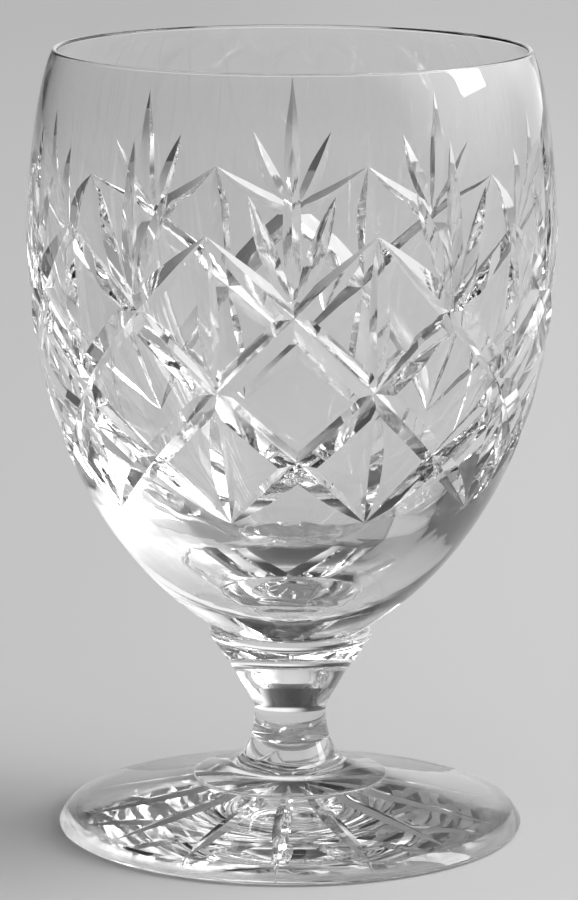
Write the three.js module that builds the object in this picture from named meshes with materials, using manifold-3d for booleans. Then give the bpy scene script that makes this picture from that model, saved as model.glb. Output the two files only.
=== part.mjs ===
// Short-stemmed cut-crystal goblet, in millimetres, +Z up.
// The origin is the centre of the resting ring under the foot, and every piece is turned about the Z axis.
// The glass is a stack of fused gathers: foot, foot collar, stem, bowl collar and bowl.
import * as THREE from 'three';
import { mergeVertices } from 'three/addons/utils/BufferGeometryUtils.js';
import Module from 'manifold-3d';

const wasm = await Module();
wasm.setup();

// Foot
const FOOT_RADIUS = 38.6;
const FOOT_HEIGHT = 8.2;
const FOOT_WIDEST_HEIGHT = 0.9;
const FOOT_EDGE_HEIGHT = 3.0;
const FOOT_EDGE_BULGE_SHARE = 0.2;
const FOOT_EDGE_SETBACK = 1.5;
const FOOT_TOP_SAG = 0.6;
const FOOT_DOME_HEIGHT = 1.8;
const FOOT_UNDER_SETBACK = 1.6;
const REST_RING_WIDTH = 1.2;

// Star cut under the foot
const STAR_CUTS = 14;
const STAR_INNER_RADIUS = 3.0;
const STAR_MARGIN = 1.3;
const STAR_DEPTH = 1.0;

// Foot collar: a neck that flares into a thin-edged disc lying on the foot
const FOOT_COLLAR_HEIGHT = 6.9;
const NECK_NOTCH = 0.15;
const NECK_TAPER = 1.35;
const NECK_HEIGHT = 2.9;
const DISC_RADIUS = 16.1;
const DISC_EDGE_RADIUS = 0.3;
const FLARE_OUT = 1.05;
const FLARE_UP = 1.5;

// Stem: a waist that bends out into a cone
const STEM_HEIGHT = 10.9;
const STEM_FOOT_RADIUS = 6.55;
const STEM_WAIST_RADIUS = 5.95;
const STEM_WAIST_HEIGHT = 4.1;
const STEM_BEND_HEIGHT = 2.7;
const STEM_BEND_STEP = 0.8;
const STEM_TOP_RADIUS = 9.1;

// Bowl collar: a rounded ring above a cone
const BOWL_COLLAR_HEIGHT = 8.0;
const BOWL_COLLAR_RADIUS = 13.55;
const BOWL_COLLAR_EDGE_RADIUS = 1.15;
const BOWL_COLLAR_EDGE_START = -50;

// Bowl, with heights above its seam on the collar
const BOWL_HEIGHT = 96.0;
const BOWL_BASE_SETBACK = 0.75;
const BOWL_BASE_FLARE = 48;
const BOWL_BASE_HANDLE = 3.0;
const BOWL_WIDEST_RADIUS = 43.4;
const BOWL_WIDEST_HEIGHT = 67.0;
const BOWL_BELLY_HANDLE = 50.0;
const BOWL_SHOULDER_HANDLE = 4.0;
const RIM_RADIUS = 39.15;
const RIM_LEAN = 24;
const RIM_HANDLE = 7.0;
const RIM_THICKNESS = 0.9;
const BASE_THICKNESS = 10.0;

// Inside of the bowl. It is widest between the outside's widest part and the rim, and its handles are shares
// of the lengths that they lie on.
const INNER_SETBACK = 1.65;
const INNER_RIM_LEAN = 22;
const INNER_WIDEST_SHARE = 0.32;
const INNER_RIM_SHARE = 0.26;
const INNER_SHOULDER_SHARE = 0.23;
const INNER_BELLY_SHARE = 0.61;
const INNER_FLOOR_SHARE = 0.425;

// Wheel-cut band on the bowl, measured along the outer wall. The row step is that at the widest part.
const REPEATS = 10;
const PLAIN_LIP = 10.9;
const ROW_STEP = 13.0;
const DIAGONAL_DEPTH = 1.45;
const SPLIT_DEPTH = 1.2;
const FAN_DEPTH = 1.0;
const FAN_CENTRE_LENGTH = 27.0;
const FAN_SIDE_LENGTH = 19.5;
const FAN_SIDE_SPREAD = 9.2;
const WHEEL_HALF_ANGLE = 56;
const CUTTER_CLEARANCE = 1.2;

// Facets
const BOWL_SEGMENTS = 40;
const FOOT_SEGMENTS = 48;
const STEM_SEGMENTS = 32;
const WALL_RINGS = 14;
const INNER_RINGS = 11;
const CURVE_STEPS = 5;
const DIAGONAL_STATIONS = 8;
const LEAF_STATIONS = 4;
const STEPS_PER_ROW = 8;
const MERGE_TOLERANCE = 1e-4;

// Heights of the seams, stacked from the resting plane
const FOOT_SEAM = FOOT_HEIGHT;
const STEM_SEAM = FOOT_SEAM + FOOT_COLLAR_HEIGHT;
const COLLAR_SEAM = STEM_SEAM + STEM_HEIGHT;
const BOWL_SEAM = COLLAR_SEAM + BOWL_COLLAR_HEIGHT;

// Radii of the resting ring and of the neck
const REST_RING_OUTER_RADIUS = FOOT_RADIUS - FOOT_UNDER_SETBACK;
const REST_RING_INNER_RADIUS = REST_RING_OUTER_RADIUS - REST_RING_WIDTH;
const NECK_TOP_RADIUS = STEM_FOOT_RADIUS - NECK_NOTCH;
const NECK_FOOT_RADIUS = NECK_TOP_RADIUS + NECK_TAPER;

const radians = THREE.MathUtils.degToRad;

const crystal = new THREE.MeshStandardMaterial({
  color: 0xf2f5f6,
  roughness: 0.03,
  metalness: 0,
  transparent: true,
  opacity: 0.35,
});

// Welds shared vertices, so that a turned or swept surface closes, and drops the triangles that collapse.
function weld(geometry) {
  geometry.deleteAttribute('normal');
  geometry.deleteAttribute('uv');
  const welded = mergeVertices(geometry, MERGE_TOLERANCE);
  const index = welded.index.array;
  const kept = [];
  for (let i = 0; i < index.length; i += 3) {
    const corners = [index[i], index[i + 1], index[i + 2]];
    if (new Set(corners).size === 3) kept.push(...corners);
  }
  welded.setIndex(kept);
  return welded;
}

// Turns a profile of (radius, height) points about the Z axis.
function turn(points, segments) {
  const geometry = new THREE.LatheGeometry(points, segments);
  geometry.rotateX(Math.PI / 2);
  return weld(geometry);
}

function toSolid(geometry) {
  return new wasm.Manifold(new wasm.Mesh({
    numProp: 3,
    vertProperties: new Float32Array(geometry.attributes.position.array),
    triVerts: new Uint32Array(geometry.index.array),
  }));
}

function fromSolid(solid) {
  const { vertProperties, triVerts } = solid.getMesh();
  const geometry = new THREE.BufferGeometry();
  geometry.setAttribute('position', new THREE.BufferAttribute(vertProperties, 3));
  geometry.setIndex(new THREE.BufferAttribute(triVerts, 1));
  return geometry;
}

// A mitre wheel leaves a V groove. Each station of its path has a place on the glass, the outward direction
// there and the depth of the groove, and the wedge between the stations stands clear of the surface.
function mitreWedge(stations) {
  const flare = Math.tan(radians(WHEEL_HALF_ANGLE));
  const last = stations.length - 1;
  const corners = [];
  stations.forEach(({ place, outward, depth }, i) => {
    const ahead = stations[Math.min(i + 1, last)].place;
    const behind = stations[Math.max(i - 1, 0)].place;
    const along = ahead.clone().sub(behind).normalize();
    const across = along.clone().cross(outward).normalize();
    const halfWidth = (depth + CUTTER_CLEARANCE) * flare;
    const top = place.clone().addScaledVector(outward, CUTTER_CLEARANCE);
    corners.push(place.clone().addScaledVector(outward, -depth));
    corners.push(top.clone().addScaledVector(across, halfWidth));
    corners.push(top.clone().addScaledVector(across, -halfWidth));
  });
  const faces = [0, 1, 2];
  for (let i = 0; i < last; i += 1) {
    for (let side = 0; side < 3; side += 1) {
      const a = 3 * i + side;
      const b = 3 * i + (side + 1) % 3;
      faces.push(a, b + 3, b, a, a + 3, b + 3);
    }
  }
  faces.push(3 * last, 3 * last + 2, 3 * last + 1);
  const geometry = new THREE.BufferGeometry();
  geometry.setFromPoints(corners);
  geometry.setIndex(faces);
  return toSolid(geometry);
}

// A leaf cut starts and ends at nothing and is deepest in the middle, as a round wheel leaves it.
const leafDepth = (t) => 4 * t * (1 - t);

// A long cut keeps its depth between the first and last of its four row steps.
function diagonalDepth(t) {
  const rows = Math.min(1, 4 * Math.min(t, 1 - t));
  return 1 - (1 - rows) ** 2;
}

// Foot

function footUnderside() {
  return new THREE.QuadraticBezierCurve(
    new THREE.Vector2(0, FOOT_DOME_HEIGHT),
    new THREE.Vector2(REST_RING_INNER_RADIUS / 2, FOOT_DOME_HEIGHT),
    new THREE.Vector2(REST_RING_INNER_RADIUS, 0),
  );
}

function footProfile() {
  const profile = new THREE.Path(footUnderside().getPoints(CURVE_STEPS));
  const edgeTop = FOOT_RADIUS - FOOT_EDGE_SETBACK;
  const bulge = FOOT_EDGE_BULGE_SHARE / 2 + 0.5;
  const bevelRadius = THREE.MathUtils.lerp(edgeTop, FOOT_RADIUS, bulge);
  const bevelHeight = THREE.MathUtils.lerp(FOOT_WIDEST_HEIGHT, FOOT_EDGE_HEIGHT, bulge);
  profile.lineTo(REST_RING_OUTER_RADIUS, 0);
  profile.quadraticCurveTo(FOOT_RADIUS, 0, FOOT_RADIUS, FOOT_WIDEST_HEIGHT);
  profile.quadraticCurveTo(bevelRadius, bevelHeight, edgeTop, FOOT_EDGE_HEIGHT);
  const seat = DISC_RADIUS;
  const middle = (edgeTop + seat) / 2;
  const middleHeight = (FOOT_EDGE_HEIGHT + FOOT_HEIGHT) / 2 - FOOT_TOP_SAG;
  profile.quadraticCurveTo(middle, middleHeight, seat, FOOT_HEIGHT);
  profile.lineTo(0, FOOT_HEIGHT);
  return profile.getPoints(CURVE_STEPS);
}

function starCut(index) {
  const underside = footUnderside();
  const inner = REST_RING_INNER_RADIUS;
  const angle = (index / STAR_CUTS) * 2 * Math.PI - Math.PI / 2;
  const stations = [];
  for (let i = 0; i <= LEAF_STATIONS; i += 1) {
    const t = i / LEAF_STATIONS;
    const radius = THREE.MathUtils.lerp(STAR_INNER_RADIUS, inner - STAR_MARGIN, t);
    const height = underside.getPoint(radius / inner).y;
    stations.push({
      place: new THREE.Vector3(radius * Math.cos(angle), radius * Math.sin(angle), height),
      outward: new THREE.Vector3(0, 0, -1),
      depth: STAR_DEPTH * leafDepth(t),
    });
  }
  return mitreWedge(stations);
}

function makeFoot() {
  let solid = toSolid(turn(footProfile(), FOOT_SEGMENTS));
  for (let i = 0; i < STAR_CUTS; i += 1) solid = solid.subtract(starCut(i));
  return fromSolid(solid);
}

// Foot collar

function makeFootCollar() {
  const discHeight = 2 * DISC_EDGE_RADIUS;
  const discCentre = DISC_RADIUS - DISC_EDGE_RADIUS;
  const neckFoot = FOOT_COLLAR_HEIGHT - NECK_HEIGHT;
  const profile = new THREE.Path();
  profile.moveTo(0, 0);
  profile.lineTo(discCentre, 0);
  profile.absarc(discCentre, DISC_EDGE_RADIUS, DISC_EDGE_RADIUS, -Math.PI / 2, Math.PI / 2);
  profile.quadraticCurveTo(NECK_FOOT_RADIUS + FLARE_OUT, discHeight + FLARE_UP, NECK_FOOT_RADIUS, neckFoot);
  profile.lineTo(NECK_TOP_RADIUS, FOOT_COLLAR_HEIGHT);
  profile.lineTo(0, FOOT_COLLAR_HEIGHT);
  return turn(profile.getPoints(CURVE_STEPS), STEM_SEGMENTS);
}

// Stem

function makeStem() {
  const coneRadius = STEM_WAIST_RADIUS + STEM_BEND_STEP;
  const coneFoot = STEM_WAIST_HEIGHT + STEM_BEND_HEIGHT;
  const slope = (STEM_TOP_RADIUS - coneRadius) / (STEM_HEIGHT - coneFoot);
  const profile = new THREE.Path();
  profile.moveTo(0, 0);
  profile.lineTo(STEM_FOOT_RADIUS, 0);
  profile.quadraticCurveTo(STEM_WAIST_RADIUS, STEM_WAIST_HEIGHT / 2, STEM_WAIST_RADIUS, STEM_WAIST_HEIGHT);
  profile.quadraticCurveTo(STEM_WAIST_RADIUS, coneFoot - STEM_BEND_STEP / slope, coneRadius, coneFoot);
  profile.lineTo(STEM_TOP_RADIUS, STEM_HEIGHT);
  profile.lineTo(0, STEM_HEIGHT);
  return turn(profile.getPoints(CURVE_STEPS), STEM_SEGMENTS);
}

// Bowl collar

function makeBowlCollar() {
  const ringCentre = BOWL_COLLAR_RADIUS - BOWL_COLLAR_EDGE_RADIUS;
  const ringHeight = BOWL_COLLAR_HEIGHT - BOWL_COLLAR_EDGE_RADIUS;
  const start = radians(BOWL_COLLAR_EDGE_START);
  const profile = new THREE.Path();
  profile.moveTo(0, 0);
  profile.lineTo(STEM_TOP_RADIUS, 0);
  profile.absarc(ringCentre, ringHeight, BOWL_COLLAR_EDGE_RADIUS, start, Math.PI / 2);
  profile.lineTo(0, BOWL_COLLAR_HEIGHT);
  return turn(profile.getPoints(CURVE_STEPS), STEM_SEGMENTS);
}

// Bowl

function bowlOuterWall() {
  const flare = radians(BOWL_BASE_FLARE);
  const baseRadius = BOWL_COLLAR_RADIUS - BOWL_BASE_SETBACK;
  const rimHeight = BOWL_HEIGHT - RIM_THICKNESS / 2;
  const widest = new THREE.Vector2(BOWL_WIDEST_RADIUS, BOWL_WIDEST_HEIGHT);
  const wall = new THREE.CurvePath();
  wall.add(new THREE.CubicBezierCurve(
    new THREE.Vector2(baseRadius, 0),
    new THREE.Vector2(
      baseRadius + BOWL_BASE_HANDLE * Math.sin(flare),
      BOWL_BASE_HANDLE * Math.cos(flare),
    ),
    new THREE.Vector2(BOWL_WIDEST_RADIUS, BOWL_WIDEST_HEIGHT - BOWL_BELLY_HANDLE),
    widest,
  ));
  wall.add(new THREE.CubicBezierCurve(
    widest,
    new THREE.Vector2(BOWL_WIDEST_RADIUS, BOWL_WIDEST_HEIGHT + BOWL_SHOULDER_HANDLE),
    new THREE.Vector2(
      RIM_RADIUS + RIM_HANDLE * Math.tan(radians(RIM_LEAN)),
      rimHeight - RIM_HANDLE,
    ),
    new THREE.Vector2(RIM_RADIUS, rimHeight),
  ));
  return wall;
}

function bowlInnerWall() {
  const radius = BOWL_WIDEST_RADIUS - INNER_SETBACK;
  const rim = new THREE.Vector2(RIM_RADIUS - RIM_THICKNESS, BOWL_HEIGHT - RIM_THICKNESS / 2);
  const widestHeight = THREE.MathUtils.lerp(BOWL_WIDEST_HEIGHT, rim.y, INNER_WIDEST_SHARE);
  const widest = new THREE.Vector2(radius, widestHeight);
  const above = rim.y - widestHeight;
  const below = widestHeight - BASE_THICKNESS;
  const rimHandle = INNER_RIM_SHARE * above;
  const wall = new THREE.CurvePath();
  wall.add(new THREE.CubicBezierCurve(
    rim,
    new THREE.Vector2(rim.x + rimHandle * Math.tan(radians(INNER_RIM_LEAN)), rim.y - rimHandle),
    new THREE.Vector2(radius, widestHeight + INNER_SHOULDER_SHARE * above),
    widest,
  ));
  wall.add(new THREE.CubicBezierCurve(
    widest,
    new THREE.Vector2(radius, widestHeight - INNER_BELLY_SHARE * below),
    new THREE.Vector2(INNER_FLOOR_SHARE * radius, BASE_THICKNESS),
    new THREE.Vector2(0, BASE_THICKNESS),
  ));
  return wall;
}

const outerWall = bowlOuterWall();
const outerLength = outerWall.getLength();

// A place on the bowl's outer wall, from its angle in degrees round the axis, where 0 faces -Y, and its
// distance along the wall from the seam.
function onBowl(angle, along) {
  const t = along / outerLength;
  const { x: radius, y: height } = outerWall.getPoint(t);
  const rise = outerWall.getTangent(t);
  const azimuth = radians(angle - 90);
  const round = new THREE.Vector3(Math.cos(azimuth), Math.sin(azimuth), 0);
  return {
    place: round.clone().multiplyScalar(radius).setZ(height),
    outward: round.clone().multiplyScalar(rise.y).setZ(-rise.x).normalize(),
  };
}

// Distance along the wall of the place some rows below a start. The long cuts keep one angle all the way, so
// the rows close up as the wall's radius shrinks.
function rowsBelow(start, rows) {
  const steps = Math.ceil(Math.abs(rows) * STEPS_PER_ROW);
  let along = start;
  for (let i = 0; i < steps; i += 1) {
    const { x: radius } = outerWall.getPoint(along / outerLength);
    along -= (rows / steps) * ROW_STEP * (radius / BOWL_WIDEST_RADIUS);
  }
  return along;
}

function bowlCut(path, depth, shape, count) {
  const stations = [];
  for (let i = 0; i <= count; i += 1) {
    const t = i / count;
    const { angle, along } = path(t);
    stations.push({ ...onBowl(angle, along), depth: depth * shape(t) });
  }
  return mitreWedge(stations);
}

function leafCut(from, to, depth) {
  const path = (t) => ({
    angle: THREE.MathUtils.lerp(from.angle, to.angle, t),
    along: THREE.MathUtils.lerp(from.along, to.along, t),
  });
  return bowlCut(path, depth, leafDepth, LEAF_STATIONS);
}

// The cuts of one repeat: two long diagonals that cross in a diamond lattice, two upright splits below the
// lattice's upper points, and a fan of three leaves above the diamond between them.
function cutsOfRepeat(index) {
  const pitch = 360 / REPEATS;
  const centre = index * pitch;
  const corner = centre + pitch / 2;
  const fanTip = outerLength - PLAIN_LIP;
  const fanBase = { angle: centre, along: fanTip - FAN_CENTRE_LENGTH };
  const row = (number) => rowsBelow(fanBase.along, number - 1);
  const top = { angle: corner, along: row(0) };
  const middle = { angle: corner, along: row(2) };
  const bottom = { angle: corner, along: row(4) };
  const cuts = [];
  for (const side of [-1, 1]) {
    const diagonal = (t) => ({ angle: corner + side * 2 * pitch * t, along: row(4 * t) });
    cuts.push(bowlCut(diagonal, DIAGONAL_DEPTH, diagonalDepth, DIAGONAL_STATIONS));
    const tip = { angle: centre + side * FAN_SIDE_SPREAD, along: fanBase.along + FAN_SIDE_LENGTH };
    cuts.push(leafCut(fanBase, tip, FAN_DEPTH));
  }
  const tip = { angle: centre, along: fanTip };
  cuts.push(leafCut(fanBase, tip, FAN_DEPTH));
  cuts.push(leafCut(middle, top, SPLIT_DEPTH));
  cuts.push(leafCut(bottom, middle, SPLIT_DEPTH));
  return cuts;
}

function bowlProfile() {
  const points = [new THREE.Vector2(0, 0)];
  for (let i = 0; i <= WALL_RINGS; i += 1) points.push(outerWall.getPoint(i / WALL_RINGS));
  const rim = new THREE.Path();
  const half = RIM_THICKNESS / 2;
  rim.absarc(RIM_RADIUS - half, BOWL_HEIGHT - half, half, 0, Math.PI);
  points.push(...rim.getPoints(CURVE_STEPS).slice(1, -1));
  const innerWall = bowlInnerWall();
  for (let i = 0; i <= INNER_RINGS; i += 1) points.push(innerWall.getPoint(i / INNER_RINGS));
  return points;
}

function makeBowl() {
  let solid = toSolid(turn(bowlProfile(), BOWL_SEGMENTS));
  for (let i = 0; i < REPEATS; i += 1) {
    for (const cut of cutsOfRepeat(i)) solid = solid.subtract(cut);
  }
  return fromSolid(solid);
}

// Assembly

const glass = new THREE.Group();

function place(name, geometry, seam) {
  const mesh = new THREE.Mesh(geometry, crystal.clone());
  mesh.name = name;
  mesh.position.z = seam;
  glass.add(mesh);
}

place('foot', makeFoot(), 0);
place('foot_collar', makeFootCollar(), FOOT_SEAM);
place('stem', makeStem(), STEM_SEAM);
place('bowl_collar', makeBowlCollar(), COLLAR_SEAM);
place('bowl', makeBowl(), BOWL_SEAM);

export default glass;
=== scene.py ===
import math

import bpy
import numpy as np
from mathutils import Matrix, Vector


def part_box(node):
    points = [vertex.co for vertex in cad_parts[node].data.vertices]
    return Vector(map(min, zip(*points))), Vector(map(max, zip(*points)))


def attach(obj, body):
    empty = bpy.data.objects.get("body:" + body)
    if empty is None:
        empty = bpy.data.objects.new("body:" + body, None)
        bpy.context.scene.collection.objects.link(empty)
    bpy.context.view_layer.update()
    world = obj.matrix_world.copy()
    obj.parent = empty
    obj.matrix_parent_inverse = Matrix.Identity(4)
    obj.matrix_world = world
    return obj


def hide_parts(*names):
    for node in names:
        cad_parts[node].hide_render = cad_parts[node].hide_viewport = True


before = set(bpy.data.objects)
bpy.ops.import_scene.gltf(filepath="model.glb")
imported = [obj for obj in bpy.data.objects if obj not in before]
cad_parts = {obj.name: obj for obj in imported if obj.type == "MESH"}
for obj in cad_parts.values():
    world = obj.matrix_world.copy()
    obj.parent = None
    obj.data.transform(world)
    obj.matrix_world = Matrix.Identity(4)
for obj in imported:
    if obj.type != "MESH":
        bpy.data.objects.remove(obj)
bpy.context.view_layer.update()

MM = 0.001

# Material slots of every piece
POLISHED = 0
CUT = 1
SEAM = 2

# Seams between the gathers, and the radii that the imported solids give
FOOT_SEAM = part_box("foot_collar")[0].z
STEM_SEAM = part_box("stem")[0].z
COLLAR_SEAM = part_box("bowl_collar")[0].z
BOWL_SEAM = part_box("bowl")[0].z
RIM_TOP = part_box("bowl")[1].z
FOOT_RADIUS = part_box("foot")[1].x
DISC_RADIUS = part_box("foot_collar")[1].x
STEM_TOP_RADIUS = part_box("stem")[1].x
COLLAR_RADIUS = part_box("bowl_collar")[1].x

# Foot
FOOT_WIDEST_HEIGHT = 0.9 * MM
FOOT_EDGE_HEIGHT = 3.0 * MM
FOOT_EDGE_BULGE_SHARE = 0.2
FOOT_EDGE_SETBACK = 1.5 * MM
FOOT_UNDER_SETBACK = 1.6 * MM
FOOT_TOP_SAG = 0.6 * MM
FOOT_DOME_HEIGHT = 1.8 * MM
REST_RING_WIDTH = 1.2 * MM
STAR_CUTS = 14
STAR_TURN = -3.7
STAR_INNER_RADIUS = 3.0 * MM
STAR_MARGIN = 1.3 * MM
STAR_DEPTH = 1.0 * MM
REST_RING_OUTER_RADIUS = FOOT_RADIUS - FOOT_UNDER_SETBACK
REST_RING_INNER_RADIUS = REST_RING_OUTER_RADIUS - REST_RING_WIDTH

# Foot collar and stem
STEM_FOOT_RADIUS = 6.55 * MM
STEM_WAIST_RADIUS = 5.95 * MM
STEM_WAIST_HEIGHT = 4.1 * MM
STEM_BEND_HEIGHT = 2.7 * MM
STEM_BEND_STEP = 0.8 * MM
NECK_TOP_RADIUS = 6.4 * MM
NECK_TAPER = 1.35 * MM
NECK_HEIGHT = 2.9 * MM
DISC_EDGE_RADIUS = 0.3 * MM
FLARE_OUT = 1.05 * MM
FLARE_UP = 1.5 * MM

# Bowl collar
COLLAR_EDGE_RADIUS = 1.15 * MM
COLLAR_EDGE_START = -50

# Bowl
BASE_SETBACK = 0.75 * MM
BASE_FLARE = 48
BASE_HANDLE = 3.0 * MM
BOWL_RADIUS = 43.4 * MM
WIDEST_HEIGHT = 67.0 * MM
BELLY_HANDLE = 50.0 * MM
SHOULDER_HANDLE = 4.0 * MM
RIM_RADIUS = 39.15 * MM
RIM_LEAN = 24
RIM_HANDLE = 7.0 * MM
RIM_THICKNESS = 0.9 * MM
BASE_THICKNESS = 10.0 * MM
INNER_SETBACK = 1.65 * MM
INNER_RIM_LEAN = 22
INNER_WIDEST_SHARE = 0.32
INNER_RIM_SHARE = 0.26
INNER_SHOULDER_SHARE = 0.23
INNER_BELLY_SHARE = 0.61
INNER_FLOOR_SHARE = 0.425

# Wheel-cut band on the bowl, measured along the outer wall. The row step is that at the widest part.
REPEATS = 10
DIAGONAL_ROWS = 4
PLAIN_LIP = 10.9 * MM
ROW_STEP = 13.0 * MM
DIAGONAL_DEPTH = 1.45 * MM
SPLIT_DEPTH = 1.2 * MM
FAN_DEPTH = 1.0 * MM
FAN_CENTRE_LENGTH = 27.0 * MM
FAN_SIDE_LENGTH = 19.5 * MM
FAN_SIDE_SPREAD = 9.2
WHEEL_HALF_ANGLE = 56
CUTTER_CLEARANCE = 1.2 * MM
HAND_DRIFT = 0.5

# Fineness of the meshes
BOWL_SEGMENTS = 200
FOOT_SEGMENTS = 192
STEM_SEGMENTS = 160
CURVE_STEPS = 14
WALL_RINGS = 64
DIAGONAL_STATIONS = 72
LEAF_STATIONS = 24
SHARP_ANGLE = 20
ALIKE_ANGLE = 5
ON_WALL = 0.02 * MM
SAME_POINT = 1e-7

# Finish of the crystal: the grain of each noise along its axes, the depth of its relief, and the roughness
# that two values of the noise give
CRYSTAL_COLOUR = (0.95, 0.95, 0.95, 1)
CRYSTAL_IOR = 1.54
WHEEL_MARKS = "wheel_marks"
CUT_SPACING = 100 * MM
MARK_GRAIN = (2.4 * MM, 0.4 * MM, 1.0)
MARK_DEPTH = 0.007 * MM
MARK_CLEAR = (0.4, 0.0)
MARK_DULL = (0.75, 0.03)
BLOWN_GRAIN = (11.0 * MM, 11.0 * MM, 55.0 * MM)
BLOWN_DEPTH = 0.05 * MM
SMEAR_GRAIN = (7.0 * MM, 7.0 * MM, 16.0 * MM)
SMEAR_CLEAR = (0.5, 0)
SMEAR_DULL = (0.8, 0.03)
WORN_HEIGHT = 0.25 * MM
WORN_ROUGHNESS = 0.3
SWIRL_PITCH = 3.2 * MM
SWIRL_RADIUS = 12.0 * MM
SWIRL_DEPTH = 0.06 * MM

# Floor: pale paper with a painted pool of light round the glass and behind it, and painted shade farther out
# and on the left; colours as (left, right)
FLOOR_GAP = 0.05 * MM
FLOOR_RADIUS = 3.0
FLOOR_SEGMENTS = 192
# Pale paper near the glass, painted lighter on the right than on the left as falloff of the window's light
PAPER_PALE_WITH_PAINTED_FALLOFF = (0.63, 0.685)
PAINTED_FALLOFF_EDGE = 0.06
# Painted shade: the grey that the paper is painted towards farther from the glass
PAPER_PAINTED_SHADE = (0.36, 0.43)
PAPER_LEFT = 0.1
PAPER_RIGHT = 0.14
PAPER_FRONT = 0.09
PAINTED_SHADE_FADE = 3.2
PAPER_WIDENING = 8.3
PAPER_WIDE_FROM = 0.12
PAPER_ROUGHNESS = 0.9
PAPER_GLOSS = 0.1

# Light: the window's lamp, and the room by direction, each part with its spread of cosines and its level
WINDOW_PLACE = (1.415, 0.087, 1.038)
WINDOW_SIZE = (0.51, 1.14)
WINDOW_POWER = 12.0
AIM = (0, 0, 0.1)
ROOM_LEVEL = 0.11
GLOW_TOWARDS = (0.853, 0.150, 0.500)
GLOW_SPREAD = (0.62, 0.98)
GLOW_LEVEL = 1.95
FRONT_TOWARDS = (0.296, -0.814, 0.500)
FRONT_SPREAD = (-0.1, 0.9)
FRONT_LEVEL = 0.25
TOP_TOWARDS = (0, 0, 1)
TOP_SPREAD = (0.75, 1.0)
TOP_LEVEL = 0.45
HORIZON_BAND = (-0.02, 0.25)
HORIZON_SHADE = 0.5
BACK_TOWARDS = (0.337, 0.925, 0.174)
BACK_SPREAD = (0.75, 0.98)
BACK_BAND = (0.18, 0.36)
BACK_LEVEL = 1.0
DIM_TOWARDS = (-0.324, 0.694, 0.643)
DIM_SPREAD = (0.75, 0.95)
DIM_LEVEL = -0.08
LIGHT_BOUNCES = 32
GLOSSY_BOUNCES = 16

# Camera, as fitted to the ellipses of the rim and the foot in the photograph's 578 x 900 frame
FRAME_HEIGHT = 900
FOCAL_LENGTH_PX = 4560
SENSOR = 36
CAMERA_PLACE = Vector((-0.36, -739.3, 206.5)) * MM
CAMERA_PITCH = 10.947
CAMERA_ROLL = 0.186


# Curves of (radius, height)

def line(*points):
    return np.array(points, float)


def quadratic(start, handle, end, steps=CURVE_STEPS):
    t = np.linspace(0, 1, steps + 1)[:, None]
    start, handle, end = np.array([start, handle, end])
    return (1 - t) ** 2 * start + 2 * (1 - t) * t * handle + t ** 2 * end


def cubic(start, first, second, end, steps=WALL_RINGS):
    t = np.linspace(0, 1, steps + 1)[:, None]
    start, first, second, end = np.array([start, first, second, end])
    near = (1 - t) ** 3 * start + 3 * (1 - t) ** 2 * t * first
    return near + 3 * (1 - t) * t ** 2 * second + t ** 3 * end


def arc(centre, radius, start, end, steps=CURVE_STEPS):
    angle = np.radians(np.linspace(start, end, steps + 1))
    return np.array(centre) + radius * np.column_stack([np.cos(angle), np.sin(angle)])


# Meshes

def new_object(name, vertices, faces, slots, materials):
    mesh = bpy.data.meshes.new(name)
    mesh.from_pydata(vertices, [], faces)
    for material in materials:
        mesh.materials.append(material)
    mesh.polygons.foreach_set("material_index", slots)
    mesh.shade_smooth()
    mesh.set_sharp_from_angle(angle=math.radians(SHARP_ANGLE))
    piece = bpy.data.objects.new(name, mesh)
    bpy.context.scene.collection.objects.link(piece)
    return piece


def turned(name, runs, segments, materials, base=0.0):
    """A closed solid turned about Z from runs of (profile, material slot), from the axis back to the axis."""
    profile = [tuple(runs[0][0][0])]
    slots = []
    for points, slot in runs:
        for point in points:
            if math.dist(point, profile[-1]) > SAME_POINT:
                profile.append(tuple(point))
                slots.append(slot)
    turn = np.linspace(0, 2 * math.pi, segments, endpoint=False)
    vertices = []
    rings = []
    for radius, height in profile:
        count = segments if radius > SAME_POINT else 1
        rings.append([len(vertices) + i % count for i in range(segments)])
        for angle in turn[:count]:
            vertices.append((radius * math.cos(angle), radius * math.sin(angle), base + height))
    faces = []
    face_slots = []
    for lower, upper, slot in zip(rings, rings[1:], slots):
        for i in range(segments):
            j = (i + 1) % segments
            corners = [lower[i], lower[j], upper[j], upper[i]]
            faces.append(list(dict.fromkeys(corners)))
            face_slots.append(slot)
    return new_object(name, vertices, faces, face_slots, materials)


def wedges(name, paths, material):
    """The space that a mitre wheel clears along each path of (place, outward, depth), as one object."""
    flare = math.tan(math.radians(WHEEL_HALF_ANGLE))
    vertices = []
    faces = []
    marks = []
    for index, (place, outward, depth) in enumerate(paths):
        first = len(vertices)
        along = np.gradient(place, axis=0)
        across = np.cross(along, outward)
        across /= np.linalg.norm(across, axis=1)[:, None]
        half_width = ((depth + CUTTER_CLEARANCE) * flare)[:, None]
        top = place + CUTTER_CLEARANCE * outward
        bottom = place - depth[:, None] * outward
        corners = np.stack([bottom, top + half_width * across, top - half_width * across], axis=1)
        vertices.extend(map(tuple, corners.reshape(-1, 3)))
        steps = np.linalg.norm(np.diff(place, axis=0), axis=1)
        travel = CUT_SPACING * index + np.concatenate([[0], np.cumsum(steps)])
        flank = np.hypot(half_width[:, 0], depth + CUTTER_CLEARANCE)
        marks.append(np.stack([np.column_stack([travel, side * flank]) for side in (0, 1, -1)], axis=1))
        last = first + 3 * (len(place) - 1)
        faces.append([first, first + 1, first + 2])
        faces.append([last, last + 2, last + 1])
        for station in range(first, last, 3):
            for side in range(3):
                a = station + side
                b = station + (side + 1) % 3
                faces.append([a, a + 3, b + 3, b])
    cutter = new_object(name, vertices, faces, [0] * len(faces), [material])
    map_marks(cutter.data, np.concatenate(marks).reshape(-1, 2))
    return cutter


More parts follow.
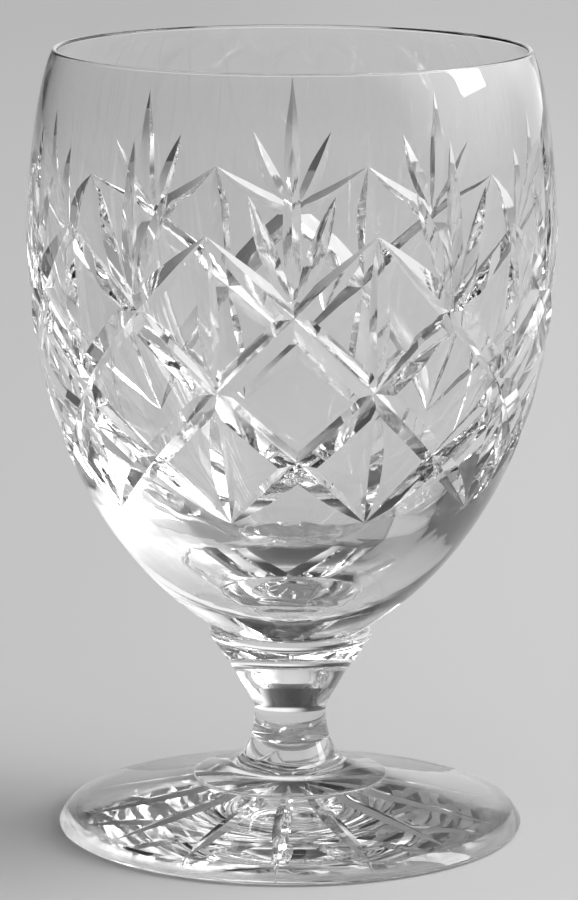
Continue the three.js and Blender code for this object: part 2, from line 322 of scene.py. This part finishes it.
def map_marks(mesh, marks):
    """Gives each vertex its place along and across its cut, for the wheel's marks to follow."""
    corner_vertex = np.empty(len(mesh.loops), int)
    mesh.loops.foreach_get("vertex_index", corner_vertex)
    layer = mesh.uv_layers.new(name=WHEEL_MARKS)
    layer.data.foreach_set("uv", marks[corner_vertex].ravel())


def carve(piece, cutters):
    for cutter in cutters:
        step = piece.modifiers.new(cutter.name, "BOOLEAN")
        step.operation = "DIFFERENCE"
        step.solver = "MANIFOLD"
        step.material_mode = "TRANSFER"
        step.object = cutter
    graph = bpy.context.evaluated_depsgraph_get()
    carved = bpy.data.meshes.new_from_object(piece.evaluated_get(graph))
    carved.validate()
    piece.modifiers.clear()
    piece.data = carved
    for cutter in cutters:
        bpy.data.objects.remove(cutter)


def set_true_normals(piece, wall_normals):
    """Smooth normals, sharp at the cuts' edges, with the wall's own normals where the wall is left whole."""
    mesh = piece.data
    mesh.shade_smooth()
    mesh.set_sharp_from_angle(angle=math.radians(SHARP_ANGLE))
    normals = np.empty(len(mesh.loops) * 3)
    mesh.corner_normals.foreach_get("vector", normals)
    normals = normals.reshape(-1, 3)
    places = np.empty(len(mesh.vertices) * 3)
    mesh.vertices.foreach_get("co", places)
    corner_vertex = np.empty(len(mesh.loops), int)
    mesh.loops.foreach_get("vertex_index", corner_vertex)
    sizes = np.empty(len(mesh.polygons), int)
    mesh.polygons.foreach_get("loop_total", sizes)
    face_normals = np.empty(len(mesh.polygons) * 3)
    mesh.polygons.foreach_get("normal", face_normals)
    facing = np.repeat(face_normals.reshape(-1, 3), sizes, axis=0)
    true, on_wall = wall_normals(places.reshape(-1, 3)[corner_vertex])
    alike = np.einsum("ij,ij->i", true, facing) > math.cos(math.radians(ALIKE_ANGLE))
    whole = on_wall & alike
    normals[whole] = true[whole]
    mesh.normals_split_custom_set(normals)


# Foot

def foot_underside(radius):
    share = np.clip(radius / REST_RING_INNER_RADIUS, 0, 1)
    return FOOT_DOME_HEIGHT * (1 - share ** 2)


def foot_runs():
    edge_top = FOOT_RADIUS - FOOT_EDGE_SETBACK
    bulge = FOOT_EDGE_BULGE_SHARE / 2 + 0.5
    widest = (FOOT_RADIUS, FOOT_WIDEST_HEIGHT)
    bevel_radius = edge_top + bulge * (FOOT_RADIUS - edge_top)
    bevel_height = FOOT_WIDEST_HEIGHT + bulge * (FOOT_EDGE_HEIGHT - FOOT_WIDEST_HEIGHT)
    radii = np.linspace(0, REST_RING_INNER_RADIUS, WALL_RINGS + 1)
    middle = (edge_top + DISC_RADIUS) / 2
    middle_height = (FOOT_EDGE_HEIGHT + FOOT_SEAM) / 2 - FOOT_TOP_SAG
    seat = DISC_RADIUS - DISC_EDGE_RADIUS
    top = quadratic((edge_top, FOOT_EDGE_HEIGHT), (middle, middle_height), (DISC_RADIUS, FOOT_SEAM))
    return [
        (np.column_stack([radii, foot_underside(radii)]), POLISHED),
        (line((REST_RING_INNER_RADIUS, 0), (REST_RING_OUTER_RADIUS, 0)), POLISHED),
        (quadratic((REST_RING_OUTER_RADIUS, 0), (FOOT_RADIUS, 0), widest), POLISHED),
        (quadratic(widest, (bevel_radius, bevel_height), (edge_top, FOOT_EDGE_HEIGHT)), POLISHED),
        (top, POLISHED),
        (line((DISC_RADIUS, FOOT_SEAM), (seat, FOOT_SEAM)), POLISHED),
        (line((seat, FOOT_SEAM), (0, FOOT_SEAM)), SEAM),
    ]


def leaf_depth(t):
    return 4 * t * (1 - t)


def star_path(index):
    t = np.linspace(0, 1, LEAF_STATIONS + 1)
    radius = STAR_INNER_RADIUS + t * (REST_RING_INNER_RADIUS - STAR_MARGIN - STAR_INNER_RADIUS)
    angle = 2 * math.pi * index / STAR_CUTS + math.radians(STAR_TURN - 90)
    place = np.column_stack([radius * math.cos(angle), radius * math.sin(angle), foot_underside(radius)])
    outward = np.tile([0.0, 0.0, -1.0], (len(t), 1))
    return place, outward, STAR_DEPTH * leaf_depth(t)


def foot_normals(places):
    radius = np.hypot(places[:, 0], places[:, 1])
    slope = -2 * FOOT_DOME_HEIGHT * radius / REST_RING_INNER_RADIUS ** 2
    away = places[:, :2] / np.maximum(radius, SAME_POINT)[:, None]
    normals = np.column_stack([away * slope[:, None], -np.ones(len(places))])
    normals /= np.linalg.norm(normals, axis=1)[:, None]
    on_dome = np.abs(places[:, 2] - foot_underside(radius)) < ON_WALL
    return normals, on_dome & (radius < REST_RING_INNER_RADIUS - ON_WALL)


def make_foot(materials):
    foot = turned("crystal_foot", foot_runs(), FOOT_SEGMENTS, materials)
    carve(foot, [wedges("star", [star_path(i) for i in range(STAR_CUTS)], materials[CUT])])
    set_true_normals(foot, foot_normals)
    return foot


# Foot collar, stem and bowl collar

def make_foot_collar(materials):
    height = STEM_SEAM - FOOT_SEAM
    disc_centre = DISC_RADIUS - DISC_EDGE_RADIUS
    disc_top = 2 * DISC_EDGE_RADIUS
    neck_foot = (NECK_TOP_RADIUS + NECK_TAPER, height - NECK_HEIGHT)
    flare = (neck_foot[0] + FLARE_OUT, disc_top + FLARE_UP)
    runs = [
        (line((0, 0), (disc_centre, 0)), SEAM),
        (arc((disc_centre, DISC_EDGE_RADIUS), DISC_EDGE_RADIUS, -90, 90), POLISHED),
        (quadratic((disc_centre, disc_top), flare, neck_foot, WALL_RINGS), POLISHED),
        (line(neck_foot, (NECK_TOP_RADIUS, height)), POLISHED),
        (line((NECK_TOP_RADIUS, height), (0, height)), SEAM),
    ]
    return turned("crystal_foot_collar", runs, STEM_SEGMENTS, materials, FOOT_SEAM)


def make_stem(materials):
    height = COLLAR_SEAM - STEM_SEAM
    foot = (STEM_FOOT_RADIUS, 0)
    waist = (STEM_WAIST_RADIUS, STEM_WAIST_HEIGHT)
    cone_foot = (STEM_WAIST_RADIUS + STEM_BEND_STEP, STEM_WAIST_HEIGHT + STEM_BEND_HEIGHT)
    slope = (STEM_TOP_RADIUS - cone_foot[0]) / (height - cone_foot[1])
    bend = (STEM_WAIST_RADIUS, cone_foot[1] - STEM_BEND_STEP / slope)
    runs = [
        (line((0, 0), (NECK_TOP_RADIUS, 0)), SEAM),
        (line((NECK_TOP_RADIUS, 0), foot), POLISHED),
        (quadratic(foot, (STEM_WAIST_RADIUS, STEM_WAIST_HEIGHT / 2), waist), POLISHED),
        (quadratic(waist, bend, cone_foot), POLISHED),
        (line(cone_foot, (STEM_TOP_RADIUS, height)), POLISHED),
        (line((STEM_TOP_RADIUS, height), (0, height)), SEAM),
    ]
    return turned("crystal_stem", runs, STEM_SEGMENTS, materials, STEM_SEAM)


def make_bowl_collar(materials):
    height = BOWL_SEAM - COLLAR_SEAM
    ring_centre = COLLAR_RADIUS - COLLAR_EDGE_RADIUS
    ring = arc((ring_centre, height - COLLAR_EDGE_RADIUS), COLLAR_EDGE_RADIUS, COLLAR_EDGE_START, 90)
    runs = [
        (line((0, 0), (STEM_TOP_RADIUS, 0)), SEAM),
        (line((STEM_TOP_RADIUS, 0), ring[0]), POLISHED),
        (ring, POLISHED),
        (line((ring_centre, height), (0, height)), SEAM),
    ]
    return turned("crystal_bowl_collar", runs, STEM_SEGMENTS, materials, COLLAR_SEAM)


# Bowl

def bowl_outer_wall():
    base_radius = COLLAR_RADIUS - BASE_SETBACK
    flare = math.radians(BASE_FLARE)
    rim_height = RIM_TOP - BOWL_SEAM - RIM_THICKNESS / 2
    widest = (BOWL_RADIUS, WIDEST_HEIGHT)
    base_handle = (base_radius + BASE_HANDLE * math.sin(flare), BASE_HANDLE * math.cos(flare))
    rim_handle = (RIM_RADIUS + RIM_HANDLE * math.tan(math.radians(RIM_LEAN)), rim_height - RIM_HANDLE)
    lower = cubic((base_radius, 0), base_handle, (BOWL_RADIUS, WIDEST_HEIGHT - BELLY_HANDLE), widest)
    shoulder = (BOWL_RADIUS, WIDEST_HEIGHT + SHOULDER_HANDLE)
    upper = cubic(widest, shoulder, rim_handle, (RIM_RADIUS, rim_height))
    return np.vstack([lower, upper[1:]])


def bowl_inner_wall():
    radius = BOWL_RADIUS - INNER_SETBACK
    rim = (RIM_RADIUS - RIM_THICKNESS, RIM_TOP - BOWL_SEAM - RIM_THICKNESS / 2)
    widest_height = WIDEST_HEIGHT + INNER_WIDEST_SHARE * (rim[1] - WIDEST_HEIGHT)
    widest = (radius, widest_height)
    above = rim[1] - widest_height
    below = widest_height - BASE_THICKNESS
    rim_drop = INNER_RIM_SHARE * above
    rim_handle = (rim[0] + rim_drop * math.tan(math.radians(INNER_RIM_LEAN)), rim[1] - rim_drop)
    shoulder = (radius, widest_height + INNER_SHOULDER_SHARE * above)
    belly = (radius, widest_height - INNER_BELLY_SHARE * below)
    floor = (INNER_FLOOR_SHARE * radius, BASE_THICKNESS)
    upper = cubic(rim, rim_handle, shoulder, widest)
    lower = cubic(widest, belly, floor, (0, BASE_THICKNESS))
    return np.vstack([upper, lower[1:]])


OUTER_WALL = bowl_outer_wall()
WALL_STEPS = np.linalg.norm(np.diff(OUTER_WALL, axis=0), axis=1)
WALL_ALONG = np.concatenate([[0], np.cumsum(WALL_STEPS)])
WALL_MIDDLES = (OUTER_WALL[:-1, 0] + OUTER_WALL[1:, 0]) / 2
WALL_CLIMB = np.concatenate([[0], np.cumsum(WALL_STEPS * BOWL_RADIUS / WALL_MIDDLES)])
WALL_SLOPE = np.gradient(OUTER_WALL[:, 0], OUTER_WALL[:, 1])
FAN_TIP = WALL_ALONG[-1] - PLAIN_LIP
FAN_BASE = FAN_TIP - FAN_CENTRE_LENGTH
TOP_ROW_CLIMB = np.interp(FAN_BASE, WALL_ALONG, WALL_CLIMB) + ROW_STEP


def outward_at(places, heights):
    slope = np.interp(heights, OUTER_WALL[:, 1], WALL_SLOPE)
    away = places[:, :2] / np.linalg.norm(places[:, :2], axis=1)[:, None]
    outward = np.column_stack([away, -slope])
    return outward / np.linalg.norm(outward, axis=1)[:, None]


def bowl_path(start, end, depth, shape, stations):
    """A cut from one (angle, distance along the wall) to another, which climbs at one slope all the way.
    Angle 0 faces -Y, and each row of the hand-cut band has drifted a little more towards +X."""
    t = np.linspace(0, 1, stations + 1)
    angle = start[0] + t * (end[0] - start[0])
    climb = np.interp(t, [0, 1], np.interp([start[1], end[1]], WALL_ALONG, WALL_CLIMB))
    along = np.interp(climb, WALL_CLIMB, WALL_ALONG)
    rows_down = np.maximum(0, TOP_ROW_CLIMB - climb) / ROW_STEP
    azimuth = np.radians(angle + HAND_DRIFT * rows_down * np.cos(np.radians(angle)) - 90)
    radius = np.interp(along, WALL_ALONG, OUTER_WALL[:, 0])
    height = np.interp(along, WALL_ALONG, OUTER_WALL[:, 1])
    place = np.column_stack([radius * np.cos(azimuth), radius * np.sin(azimuth), BOWL_SEAM + height])
    return place, outward_at(place, height), depth * shape(t)


def diagonal_depth(t):
    rows = np.minimum(1, DIAGONAL_ROWS * np.minimum(t, 1 - t))
    return 1 - (1 - rows) ** 2


def bowl_cutters(material):
    """Each kind of cut as one object, so that the cuts in an object stay clear of each other. A kind has two
    ends, as (repeats round the bowl, distance along the wall), and a depth, a shape and its stations."""
    pitch = 360 / REPEATS
    rows = np.interp(TOP_ROW_CLIMB - ROW_STEP * np.arange(DIAGONAL_ROWS + 1), WALL_CLIMB, WALL_ALONG)
    top, middle, bottom = rows[0], rows[DIAGONAL_ROWS // 2], rows[DIAGONAL_ROWS]
    sweep = DIAGONAL_ROWS / 2
    side_turn = FAN_SIDE_SPREAD / pitch
    side_tip = FAN_BASE + FAN_SIDE_LENGTH
    diagonal = (DIAGONAL_DEPTH, diagonal_depth, DIAGONAL_STATIONS)
    split = (SPLIT_DEPTH, leaf_depth, LEAF_STATIONS)
    leaf = (FAN_DEPTH, leaf_depth, LEAF_STATIONS)
    kinds = {
        "diagonals_left": ((0.5, top), (0.5 - sweep, bottom), diagonal),
        "diagonals_right": ((0.5, top), (0.5 + sweep, bottom), diagonal),
        "splits_upper": ((0.5, middle), (0.5, top), split),
        "splits_lower": ((0.5, bottom), (0.5, middle), split),
        "fan_centres": ((0, FAN_BASE), (0, FAN_TIP), leaf),
        "fan_lefts": ((0, FAN_BASE), (-side_turn, side_tip), leaf),
        "fan_rights": ((0, FAN_BASE), (side_turn, side_tip), leaf),
    }
    cutters = []
    for kind, (start, end, form) in kinds.items():
        paths = []
        for repeat in range(REPEATS):
            from_place = ((start[0] + repeat) * pitch, start[1])
            to_place = ((end[0] + repeat) * pitch, end[1])
            paths.append(bowl_path(from_place, to_place, *form))
        cutters.append(wedges(kind, paths, material))
    return cutters


def bowl_normals(places):
    height = places[:, 2] - BOWL_SEAM
    radius = np.hypot(places[:, 0], places[:, 1])
    on_wall = np.abs(radius - np.interp(height, OUTER_WALL[:, 1], OUTER_WALL[:, 0])) < ON_WALL
    safe = np.where(radius[:, None] > SAME_POINT, places, [1.0, 0.0, 0.0])
    return outward_at(safe, height), on_wall


def make_bowl(materials):
    half_rim = RIM_THICKNESS / 2
    rim_height = RIM_TOP - BOWL_SEAM - half_rim
    seam = (COLLAR_RADIUS - COLLAR_EDGE_RADIUS, 0)
    runs = [
        (line((0, 0), seam), SEAM),
        (line(seam, OUTER_WALL[0]), POLISHED),
        (OUTER_WALL, POLISHED),
        (arc((RIM_RADIUS - half_rim, rim_height), half_rim, 0, 180), POLISHED),
        (bowl_inner_wall(), POLISHED),
    ]
    bowl = turned("crystal_bowl", runs, BOWL_SEGMENTS, materials, BOWL_SEAM)
    carve(bowl, bowl_cutters(materials[CUT]))
    set_true_normals(bowl, bowl_normals)
    return bowl


# Materials

def new_material(name):
    material = bpy.data.materials.new(name)
    material.use_nodes = True
    nodes = material.node_tree.nodes
    return material, nodes, material.node_tree.links, nodes["Principled BSDF"]


def noise(nodes, links, vector, grain):
    spread = nodes.new("ShaderNodeMapping")
    spread.inputs["Scale"].default_value = [1 / size for size in grain]
    texture = nodes.new("ShaderNodeTexNoise")
    texture.inputs["Scale"].default_value = 1
    links.new(vector, spread.inputs["Vector"])
    links.new(spread.outputs["Vector"], texture.inputs["Vector"])
    return texture.outputs["Fac"]


def ranged(nodes, links, value, start, end):
    """Takes a value from start[0] to end[0] smoothly into one from start[1] to end[1]."""
    step = nodes.new("ShaderNodeMapRange")
    step.interpolation_type = "SMOOTHSTEP"
    for name, number in zip(("From Min", "To Min", "From Max", "To Max"), (*start, *end)):
        step.inputs[name].default_value = number
    links.new(value, step.inputs["Value"])
    return step.outputs["Result"]


def maths(nodes, links, operation, *values):
    step = nodes.new("ShaderNodeMath")
    step.operation = operation
    for socket, value in zip(step.inputs, values):
        if isinstance(value, (int, float)):
            socket.default_value = value
        else:
            links.new(value, socket)
    return step.outputs["Value"]


def relief(nodes, links, height):
    bump = nodes.new("ShaderNodeBump")
    bump.inputs["Distance"].default_value = 1
    links.new(height, bump.inputs["Height"])
    return bump.outputs["Normal"]


def new_crystal(name):
    material, nodes, links, shader = new_material(name)
    shader.inputs["Base Color"].default_value = CRYSTAL_COLOUR
    shader.inputs["Transmission Weight"].default_value = 1
    shader.inputs["IOR"].default_value = CRYSTAL_IOR
    return material, nodes, links, shader


def polished_crystal():
    """Fire-polished glass: slow blown waves, a swirl on the bowl's floor, smears and a worn resting ring."""
    material, nodes, links, shader = new_crystal("polished_crystal")
    place = nodes.new("ShaderNodeTexCoord").outputs["Object"]
    split = nodes.new("ShaderNodeSeparateXYZ")
    links.new(place, split.inputs["Vector"])
    flat = nodes.new("ShaderNodeCombineXYZ")
    links.new(split.outputs["X"], flat.inputs["X"])
    links.new(split.outputs["Y"], flat.inputs["Y"])
    length = nodes.new("ShaderNodeVectorMath")
    length.operation = "LENGTH"
    links.new(flat.outputs["Vector"], length.inputs[0])
    radius = length.outputs["Value"]
    waves = noise(nodes, links, place, BLOWN_GRAIN)
    turn = maths(nodes, links, "MULTIPLY_ADD", waves, 2 * SWIRL_PITCH, radius)
    ripple = maths(nodes, links, "SINE", maths(nodes, links, "MULTIPLY", turn, 2 * math.pi / SWIRL_PITCH))
    middle = ranged(nodes, links, radius, (SWIRL_RADIUS, 0), (SWIRL_RADIUS / 2, 1))
    above = maths(nodes, links, "GREATER_THAN", split.outputs["Z"], BOWL_SEAM)
    swirl = maths(nodes, links, "MULTIPLY", ripple, maths(nodes, links, "MULTIPLY", middle, above))
    blown = maths(nodes, links, "MULTIPLY", waves, BLOWN_DEPTH)
    height = maths(nodes, links, "MULTIPLY_ADD", swirl, SWIRL_DEPTH, blown)
    links.new(relief(nodes, links, height), shader.inputs["Normal"])
    smears = ranged(nodes, links, noise(nodes, links, place, SMEAR_GRAIN), SMEAR_CLEAR, SMEAR_DULL)
    worn = ranged(nodes, links, split.outputs["Z"], (WORN_HEIGHT, 0), (0, WORN_ROUGHNESS))
    links.new(maths(nodes, links, "MAXIMUM", smears, worn), shader.inputs["Roughness"])
    return material


def cut_crystal():
    """Wheel-cut and polished flanks, with fine marks left along each cut."""
    material, nodes, links, shader = new_crystal("cut_crystal")
    along = nodes.new("ShaderNodeUVMap")
    along.uv_map = WHEEL_MARKS
    marks = noise(nodes, links, along.outputs["UV"], MARK_GRAIN)
    height = maths(nodes, links, "MULTIPLY", marks, MARK_DEPTH)
    links.new(relief(nodes, links, height), shader.inputs["Normal"])
    links.new(ranged(nodes, links, marks, MARK_CLEAR, MARK_DULL), shader.inputs["Roughness"])
    return material


def fused_seam():
    """The inside of a seam, where two gathers are melted into one clear body."""
    material, nodes, links, shader = new_material("fused_seam")
    clear = nodes.new("ShaderNodeBsdfTransparent")
    links.new(clear.outputs["BSDF"], nodes["Material Output"].inputs["Surface"])
    nodes.remove(shader)
    return material


def floor_paper_painted_shade():
    """Pale paper with a painted pool of light that runs back from the glass and widens behind it, and painted
    shade towards its sides, front and left.
    """
    material, nodes, links, shader = new_material("floor_paper_painted_shade")
    split = nodes.new("ShaderNodeSeparateXYZ")
    links.new(nodes.new("ShaderNodeTexCoord").outputs["Object"], split.inputs["Vector"])
    across, back = split.outputs["X"], split.outputs["Y"]
    left = maths(nodes, links, "MULTIPLY", across, -1 / PAPER_LEFT)
    right = maths(nodes, links, "MULTIPLY", across, 1 / PAPER_RIGHT)
    behind = maths(nodes, links, "MINIMUM", maths(nodes, links, "MAXIMUM", back, 0), PAPER_WIDE_FROM)
    widening = maths(nodes, links, "MULTIPLY_ADD", behind, PAPER_WIDENING, 1)
    aside = maths(nodes, links, "DIVIDE", maths(nodes, links, "MAXIMUM", left, right), widening)
    front = maths(nodes, links, "MULTIPLY", maths(nodes, links, "MINIMUM", back, 0), 1 / PAPER_FRONT)
    squares = [maths(nodes, links, "MULTIPLY", value, value) for value in (aside, front)]
    away = maths(nodes, links, "SQRT", maths(nodes, links, "ADD", *squares))
    # Painted shade: the paper greys with distance from the painted pool of light round the glass
    painted_shade = ranged(nodes, links, away, (1, 0), (PAINTED_SHADE_FADE, 1))
    # Painted falloff of the window's light: the pale paper is painted darker on the left than on the right
    pale = ranged(nodes, links, across, (-PAINTED_FALLOFF_EDGE, PAPER_PALE_WITH_PAINTED_FALLOFF[0]), (PAINTED_FALLOFF_EDGE, PAPER_PALE_WITH_PAINTED_FALLOFF[1]))
    shaded = ranged(nodes, links, across, (-PAPER_LEFT, PAPER_PAINTED_SHADE[0]), (PAPER_RIGHT, PAPER_PAINTED_SHADE[1]))
    loss = maths(nodes, links, "SUBTRACT", shaded, pale)
    links.new(maths(nodes, links, "MULTIPLY_ADD", loss, painted_shade, pale), shader.inputs["Base Color"])
    shader.inputs["Roughness"].default_value = PAPER_ROUGHNESS
    shader.inputs["Specular IOR Level"].default_value = PAPER_GLOSS
    return material


# Stage

def make_floor():
    angles = np.linspace(0, 2 * math.pi, FLOOR_SEGMENTS, endpoint=False)
    rim = [(FLOOR_RADIUS * math.cos(a), FLOOR_RADIUS * math.sin(a), -FLOOR_GAP) for a in angles]
    floor = new_object("floor", rim, [list(range(len(rim)))], [0], [floor_paper_painted_shade()])


def make_window():
    lamp = bpy.data.lights.new("window", "AREA")
    lamp.shape = "RECTANGLE"
    lamp.size, lamp.size_y = WINDOW_SIZE
    lamp.energy = WINDOW_POWER
    window = bpy.data.objects.new("window", lamp)
    window.location = WINDOW_PLACE
    window.rotation_euler = (Vector(AIM) - Vector(WINDOW_PLACE)).to_track_quat("-Z", "Y").to_euler()
    bpy.context.scene.collection.objects.link(window)


def glow(nodes, links, direction, towards, spread, level):
    """Light around one direction of the room, over a spread of cosines."""
    dot = nodes.new("ShaderNodeVectorMath")
    dot.operation = "DOT_PRODUCT"
    dot.inputs[1].default_value = towards
    links.new(direction, dot.inputs[0])
    return ranged(nodes, links, dot.outputs["Value"], (spread[0], 0), (spread[1], level))


def make_room():
    """Soft light from the room: strongest round the window, some from the front and above, dim behind on the
    left, and weak near the floor except for a pale band low behind the glass."""
    world = bpy.data.worlds.new("room")
    world.use_nodes = True
    bpy.context.scene.world = world
    nodes = world.node_tree.nodes
    links = world.node_tree.links
    direction = nodes.new("ShaderNodeTexCoord").outputs["Generated"]
    split = nodes.new("ShaderNodeSeparateXYZ")
    links.new(direction, split.inputs["Vector"])
    side = glow(nodes, links, direction, GLOW_TOWARDS, GLOW_SPREAD, GLOW_LEVEL)
    front = glow(nodes, links, direction, FRONT_TOWARDS, FRONT_SPREAD, FRONT_LEVEL)
    top = glow(nodes, links, direction, TOP_TOWARDS, TOP_SPREAD, TOP_LEVEL)
    total = maths(nodes, links, "ADD", maths(nodes, links, "ADD", side, front), top)
    dim = glow(nodes, links, direction, DIM_TOWARDS, DIM_SPREAD, DIM_LEVEL)
    total = maths(nodes, links, "ADD", total, maths(nodes, links, "ADD", dim, ROOM_LEVEL))
    low, high = HORIZON_BAND
    shade = ranged(nodes, links, split.outputs["Z"], (low, HORIZON_SHADE), (high, 1))
    back = glow(nodes, links, direction, BACK_TOWARDS, BACK_SPREAD, BACK_LEVEL)
    under = ranged(nodes, links, split.outputs["Z"], (BACK_BAND[0], 1), (BACK_BAND[1], 0))
    band = maths(nodes, links, "MULTIPLY", back, under)
    links.new(maths(nodes, links, "MULTIPLY_ADD", total, shade, band), nodes["Background"].inputs["Color"])


def make_camera():
    lens = bpy.data.cameras.new("camera")
    lens.sensor_width = SENSOR
    lens.lens = FOCAL_LENGTH_PX / FRAME_HEIGHT * SENSOR
    camera = bpy.data.objects.new("camera", lens)
    aim = Matrix.Rotation(math.radians(90 - CAMERA_PITCH), 4, "X")
    roll = Matrix.Rotation(math.radians(CAMERA_ROLL), 4, "Z")
    camera.matrix_world = Matrix.Translation(CAMERA_PLACE) @ aim @ roll
    bpy.context.scene.collection.objects.link(camera)
    bpy.context.scene.camera = camera


def make_glass():
    materials = [polished_crystal(), cut_crystal(), fused_seam()]
    makers = {
        "foot": make_foot,
        "foot_collar": make_foot_collar,
        "stem": make_stem,
        "bowl_collar": make_bowl_collar,
        "bowl": make_bowl,
    }
    for node, maker in makers.items():
        piece = maker(materials)
        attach(piece, "root")
        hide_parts(node)


def set_light_paths():
    cycles = bpy.context.scene.cycles
    cycles.max_bounces = LIGHT_BOUNCES
    cycles.transmission_bounces = LIGHT_BOUNCES
    cycles.glossy_bounces = GLOSSY_BOUNCES
    cycles.transparent_max_bounces = LIGHT_BOUNCES
    cycles.use_denoising = True


make_camera()
make_glass()
make_floor()
make_window()
make_room()
set_light_paths()
bpy.context.scene.view_settings.view_transform = "Standard"
